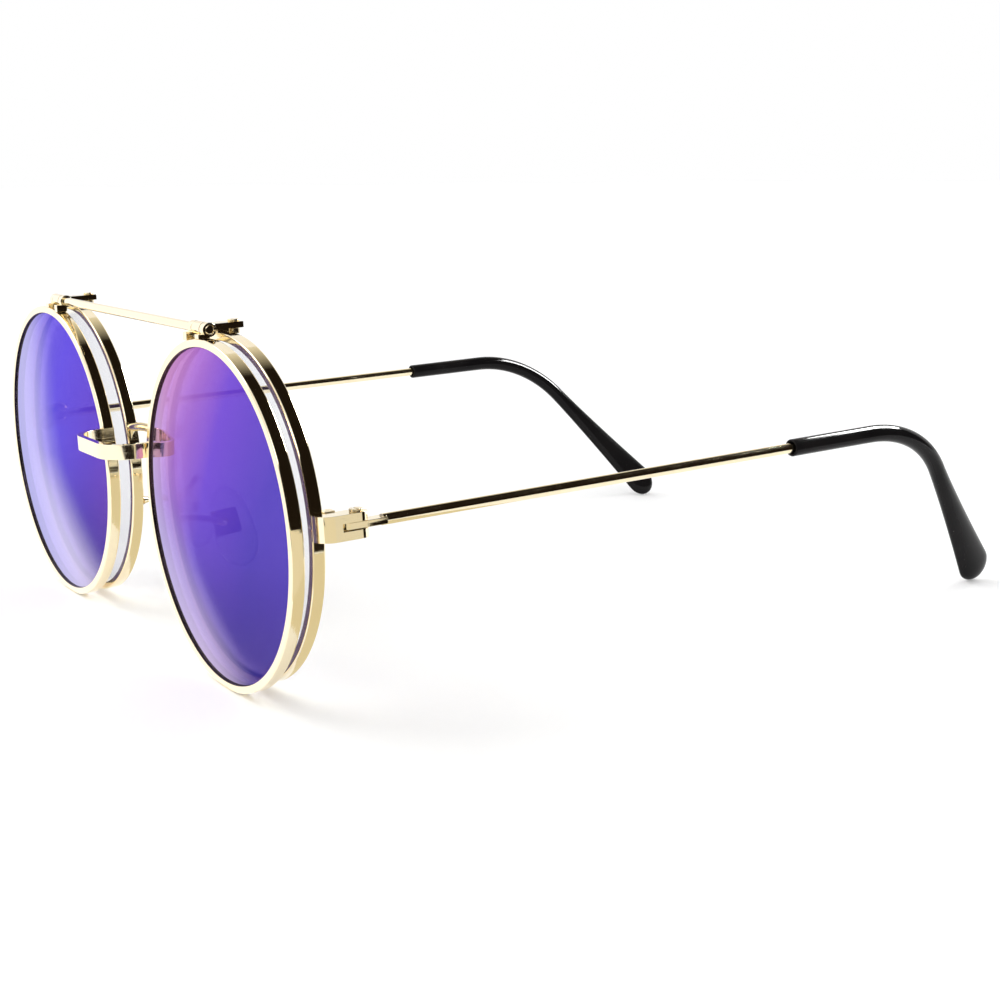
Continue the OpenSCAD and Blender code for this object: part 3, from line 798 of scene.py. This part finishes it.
# the powers shape the pad: endPower its outline towards the ends, facePower and sidePower its section
nosePad = {
    "place": (7.4, 9.7, 17.0), "splay": 24, "flare": 9, "lean": 10, "sharp": 40,
    "height": 13.6, "width": 7.4, "thick": 2.0, "reach": 0.995, "endPower": 2.6, "endLeast": 0.004,
    "facePower": 0.85, "sidePower": 0.95, "taper": 0.115, "drift": 0.2, "fullness": 1.05, "upperThin": 0.95,
    "axis": 1.95, "lugHalfWide": 0.6, "lugHalfHigh": 0.8, "lugRoot": 0.3, "boxY": -1.0, "boxZ": 1.2,
    "lugSteps": ((0.3, 0.0), (0.52, -0.1), (0.6, -0.25)), "rows": 34, "around": 40,
}


def signedPower(value, power):
    return math.copysign(abs(value) ** power, value)


# a soft drop-shaped pad with the small lug that its screw goes through
def makeNosePad(side):
    rings = []
    for i in range(nosePad["rows"] + 1):
        u = math.sin((-1 + 2 * i / nosePad["rows"]) * math.pi / 2)
        z = u * (nosePad["height"] / 2) * nosePad["reach"]
        closing = math.sqrt(max(0.0, 1 - abs(u) ** nosePad["endPower"])) + nosePad["endLeast"]
        w = nosePad["width"] / 2 * closing * (1 - nosePad["taper"] * (u + 1))
        t = nosePad["thick"] / 2 * min(1.0, closing * nosePad["fullness"])
        t *= nosePad["upperThin"] if u > 0 else 1
        rings.append([(
            t * signedPower(math.cos(a), nosePad["facePower"]),
            w * signedPower(math.sin(a), nosePad["sidePower"]) - nosePad["drift"] * (u + 1), z,
        ) for a in circleAngles(nosePad["around"])])
    lugRings = []
    lugPlaces = [(nosePad["lugRoot"], 0.0)]
    lugPlaces += [(nosePad["axis"] + far, grow) for far, grow in nosePad["lugSteps"]]
    for x, grow in lugPlaces:
        w, h = nosePad["lugHalfWide"] + grow, nosePad["lugHalfHigh"] + grow
        corners = ((-w, -h), (w, -h), (w, h), (-w, h))
        lugRings.append([(x, nosePad["boxY"] + y, nosePad["boxZ"] + z) for y, z in corners])
    meshes = [loftMesh("padBody", rings), loftMesh("padLug", lugRings)]
    mesh = joinMeshes("nosePad" + side.title(), meshes)
    place = (
        Matrix.Translation(nosePad["place"]) @ turn(-nosePad["splay"], "Z") @ turn(-nosePad["flare"], "Y")
        @ turn(nosePad["lean"], "X")
    )
    settle(mesh, place, bothSides[side])
    markSharp(mesh, nosePad["sharp"])
    pad = newPiece("nosePad" + side.title(), mesh, padPlastic)
    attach(pad, bodyOf[f"nose_pad_{side}"])
    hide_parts(f"nose_pad_{side}")


for sideName in bothSides:
    makeNosePad(sideName)
print("nose pads moulded")


# temple tips

# mouthSteps and rimSteps give places in mm from the sleeve's start, with how much wider than the mouth and
# how much narrower than the sleeve it is there; the flat end closes over its last endRound mm
temple = {
    "hinge": (61.3305, 4.0, 27.9), "hingeLean": 2.2, "toe": 0.3, "tipLean": 18, "sharp": 60, "around": 48,
    "wire": 1.6, "boreGap": 0.04, "core": 16.0, "coreGap": 0.2, "mouth": 2.1, "mouthDeep": 0.9,
    "mouthSteps": ((0.12, 0.06), (0.03, 0.14), (0.0, 0.26)),
    "rimSteps": ((0.0, 0.28), (0.05, 0.12), (0.15, 0.03), (0.3, 0.0)),
    "tipStart": 78.6, "startWide": 2.8, "sleeveRows": (82, 86, 90, 94), "swell": 0.01, "swellRun": 5,
    "bendStart": 96.0, "bendRadius": 24.4, "bendAngle": 51.5, "bendRows": 24, "bendWide": 2.85,
    "endWide": 6.7, "endThick": 2.3, "drop": 29.4249, "endRound": 4.4, "endReach": 0.9995, "flatRows": 40,
    "roundPower": 2.2, "widenPower": 1.33, "thickPower": 0.8,
}


# one ring of the skin, square to a path of this slope
def tipRing(y, z, slope, wide, thick):
    s, c = math.sin(slope), math.cos(slope)
    return [
        (thick / 2 * math.cos(a), y - wide / 2 * math.sin(a) * s, z - wide / 2 * math.sin(a) * c)
        for a in circleAngles(temple["around"])
    ]


# one closed skin: out of the bore, round the mouth, along the sleeve and round the flat end
def makeTip(side):
    start, mouth, sleeve = temple["tipStart"], temple["mouth"], temple["startWide"]
    bore = temple["wire"] + temple["boreGap"]
    tube = [(start + temple["core"] + temple["coreGap"], bore), (start + temple["mouthDeep"], bore)]
    tube.append((start + temple["mouthDeep"], mouth))
    tube += [(start + y, mouth + more) for y, more in temple["mouthSteps"]]
    tube += [(start + y, sleeve - less) for y, less in temple["rimSteps"]]
    tube += [(y, sleeve + temple["swell"] * (y - start) / temple["swellRun"]) for y in temple["sleeveRows"]]
    rings = [tipRing(y, 0, 0, wide, wide) for y, wide in tube]
    angle, radius, bendWide = math.radians(temple["bendAngle"]), temple["bendRadius"], temple["bendWide"]
    for i in range(temple["bendRows"] + 1):
        a = angle * i / temple["bendRows"]
        y, z = temple["bendStart"] + radius * math.sin(a), -radius * (1 - math.cos(a))
        rings.append(tipRing(y, z, a, bendWide, bendWide))
    arcY, arcZ = temple["bendStart"] + radius * math.sin(angle), -radius * (1 - math.cos(angle))
    wayY, wayZ = math.cos(angle), -math.sin(angle)
    full = temple["drop"] + temple["endWide"] / 2
    for i in range(1, temple["flatRows"] + 1):
        run = full * (1 - math.cos(math.pi * i / temple["flatRows"])) / 2 * temple["endReach"]
        u = min(1.0, run / temple["drop"])
        near = max(0.0, 1 - (full - run) / temple["endRound"])
        closing = math.sqrt(max(0.0, 1 - near ** temple["roundPower"]))
        wide = (bendWide + (temple["endWide"] - bendWide) * u ** temple["widenPower"]) * closing
        thick = (bendWide + (temple["endThick"] - bendWide) * u) * closing ** temple["thickPower"]
        rings.append(tipRing(arcY + run * wayY, arcZ + run * wayZ, angle, wide, thick))
    mesh = loftMesh("templeTip" + side.title(), rings)
    place = (
        Matrix.Translation(temple["hinge"]) @ turn(-temple["hingeLean"], "Y") @ turn(temple["toe"], "Z")
        @ turn(temple["tipLean"] + temple["hingeLean"], "Y")
    )
    settle(mesh, place, bothSides[side])
    markSharp(mesh, temple["sharp"])
    tip = newPiece("templeTip" + side.title(), mesh, tipPlastic)
    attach(tip, bodyOf[f"temple_tip_{side}"])
    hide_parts(f"temple_tip_{side}")


for sideName in bothSides:
    makeTip(sideName)
print("temple tips shaped")


# table, studio and camera, in metres

# the table glows less within glowFrom of the glasses than beyond glowTo, so that their shadow shows
studio = {
    "table": (0.86, 0.86, 0.86), "tableSize": 6.0, "tableRough": 0.7, "tableGloss": 0.1,
    "grain": 900.0, "grainBump": 0.05, "nearGlow": 0.13, "tableGlow": 0.34, "glowFrom": 0.15, "glowTo": 1.6,
    "surround": 0.78, "lampAim": (0, 0, 0.02),
    "keyPower": 7.0, "keyPlace": (-0.75, -0.75, 1.0), "keySize": 0.9,
    "fillPower": 3.0, "fillPlace": (0.9, -0.6, 0.7), "fillSize": 0.8,
}
# glowing sheets that the camera doesn't see and that light nothing: each paints a reflection in the metal
# and the lenses; each outline runs in x and z and reaches between two places in y, and a fade gives two
# places in x and the colour at the second
screens = {
    # a dark sheet for the painted dark reflection in the tops of rims and wires, fading to a painted tan
    # reflection at its far end
    "darkScreen": {
        "outline": [
            (0.121, 0.0015), (0.135, 0.1), (0.120, 0.22), (0.05, 0.33), (-0.05, 0.385), (-0.15, 0.39),
            (-0.26, 0.36),
        ],
        "reach": (-0.052, 0.7), "colour": (0.012, 0.008, 0.005), "fade": (-0.06, -0.24, (0.75, 0.7, 0.56)),
    },
    # a dark sheet low down for more of the same painted dark reflection
    "lowScreen": {
        "outline": [(0.121, 0.0015), (0.135, 0.1)], "reach": (-0.27, -0.0522),
        "colour": (0.012, 0.008, 0.005),
    },
    # glowing cards for the painted cream and tan reflections in the rims' lower bands and the end pieces
    "smallReflectionCard": {
        "outline": [(0.1204, 0.013), (0.1206, 0.0245)], "reach": (-0.09, -0.015),
        "colour": (0.81, 0.77, 0.66),
    },
    "cornerReflectionCard": {
        "outline": [(0.0665, 0.012), (0.0665, 0.0275)], "reach": (-0.076, -0.0655),
        "colour": (0.83, 0.77, 0.61),
    },
    "cornerTop": {
        "outline": [(0.075, 0.0245), (0.075, 0.0285)], "reach": (-0.11, -0.0625),
        "colour": (0.83, 0.77, 0.61),
    },
    # a strip glowing far brighter than the lamps, seen only in gloss: the painted highlight along the top of
    # the temple tips
    "highlightStrip": {
        "outline": [(0.15, 0.262), (-0.05, 0.262)], "reach": (0.229, 0.47),
        "colour": (110.0, 110.0, 110.0),
    },
    # sheets just above the table that paint its reflection: a tan one for the painted shade of the table
    # behind the rims, and a bright one for the painted brightness of the table in front
    "shadedTable": {
        "outline": [(0.121, 0.0004), (-0.04, 0.0004)], "reach": (-0.062, -0.02),
        "colour": (0.76, 0.69, 0.50),
    },
    "brightTable": {
        "outline": [(0.121, 0.0004), (-0.9, 0.0004), (-0.9, 0.6)], "reach": (-0.9, -0.069),
        "colour": (1.32, 1.32, 1.32),
    },
}
cameraSetup = {
    "place": (0.257436, -0.100167 - stance["middle"] / 1000, 0.076052), "azimuth": 57.2586,
    "elevation": 11.2973, "roll": -0.154, "lens": 60.21, "sensor": 36.0, "clip": (0.01, 50.0),
}


# 1 for what the camera, metal and glass see
def seenRays(tree):
    ray = addNode(tree, "LightPath")
    seen = mathNode(tree, "MAXIMUM", ray.outputs["Is Camera Ray"], ray.outputs["Is Glossy Ray"])
    return mathNode(tree, "MAXIMUM", seen, ray.outputs["Is Transmission Ray"])


def makeTable():
    size = studio["tableSize"]
    mesh = bpy.data.meshes.new("table")
    corners = [(-size, -size, 0), (size, -size, 0), (size, size, 0), (-size, size, 0)]
    mesh.from_pydata(corners, [], [(0, 1, 2, 3)])
    material, tree, shader = newMaterial("tablePaper")
    grain = addNode(tree, "TexNoise", Scale=studio["grain"], Detail=2.0)
    tree.links.new(objectPlace(tree), grain.inputs["Vector"])
    bumpFrom(tree, shader, grain.outputs["Fac"], studio["grainBump"])
    shader.inputs["Base Color"].default_value = (*studio["table"], 1)
    shader.inputs["Roughness"].default_value = studio["tableRough"]
    shader.inputs["Specular IOR Level"].default_value = studio["tableGloss"]
    glow = addNode(tree, "Emission")
    both = addNode(tree, "AddShader")
    away = addNode(tree, "VectorMath", operation="LENGTH")
    tree.links.new(objectPlace(tree), away.inputs[0])
    level = mapRange(
        tree, away.outputs["Value"], studio["glowFrom"], studio["glowTo"],
        studio["nearGlow"], studio["tableGlow"],
    )
    tree.links.new(mathNode(tree, "MULTIPLY", seenRays(tree), level), glow.inputs["Strength"])
    tree.links.new(shader.outputs[0], both.inputs[0])
    tree.links.new(glow.outputs[0], both.inputs[1])
    showShader(tree, both.outputs[0])
    newPiece("table", mesh, material)


def makeWorld():
    world = bpy.data.worlds.new("studioAir")
    bpy.context.scene.world = world
    world.use_nodes = True
    tree = world.node_tree
    air = tree.nodes["Background"]
    air.inputs["Color"].default_value = (1, 1, 1, 1)
    tree.links.new(mapRange(tree, seenRays(tree), 0.0, 1.0, studio["surround"], 1.0), air.inputs["Strength"])


# a glowing studio screen that only metal and gloss mirror, painting a reflection
def makeScreen(name, outline, reach, colour, fade=None):
    count = len(outline)
    mesh = bpy.data.meshes.new(name)
    points = [(x, y, z) for y in reach for x, z in outline]
    mesh.from_pydata(points, [], [(i, i + 1, count + i + 1, count + i) for i in range(count - 1)])
    material, tree, shader = newMaterial(name)
    tree.nodes.remove(shader)
    glow = addNode(tree, "Emission", Color=(*colour, 1), Strength=1.0)
    if fade:
        fadeFrom, fadeTo, farColour = fade
        split = addNode(tree, "SeparateXYZ")
        tree.links.new(objectPlace(tree), split.inputs[0])
        along = mapRange(tree, split.outputs["X"], fadeFrom, fadeTo, 0.0, 1.0)
        tree.links.new(mixColours(tree, along, colour, farColour), glow.inputs["Color"])
    showShader(tree, glow.outputs[0])
    screen = newPiece(name, mesh, material)
    screen.visible_camera = False
    screen.visible_diffuse = False
    screen.visible_shadow = False
    screen.visible_transmission = False


def makeLamp(name, power, place, size):
    lamp = bpy.data.lights.new(name, "AREA")
    lamp.energy = power
    lamp.size = size
    holder = bpy.data.objects.new(name, lamp)
    bpy.context.scene.collection.objects.link(holder)
    holder.location = place
    holder.rotation_euler = (Vector(studio["lampAim"]) - Vector(place)).to_track_quat("-Z", "Y").to_euler()


def makeCamera():
    camera = bpy.data.objects.new("camera", bpy.data.cameras.new("camera"))
    bpy.context.scene.collection.objects.link(camera)
    camera.data.lens = cameraSetup["lens"]
    camera.data.sensor_width = cameraSetup["sensor"]
    camera.data.clip_start, camera.data.clip_end = cameraSetup["clip"]
    camera.matrix_world = (
        Matrix.Translation(cameraSetup["place"]) @ turn(cameraSetup["azimuth"], "Z")
        @ turn(90 - cameraSetup["elevation"], "X") @ turn(cameraSetup["roll"], "Z")
    )
    bpy.context.scene.camera = camera


makeTable()
makeWorld()
for screenName, screenValues in screens.items():
    makeScreen(screenName, **screenValues)
makeLamp("keyLamp", studio["keyPower"], studio["keyPlace"], studio["keySize"])
makeLamp("fillLamp", studio["fillPower"], studio["fillPlace"], studio["fillSize"])
makeCamera()
bpy.context.scene.view_settings.view_transform = "Standard"
print("studio and camera set")
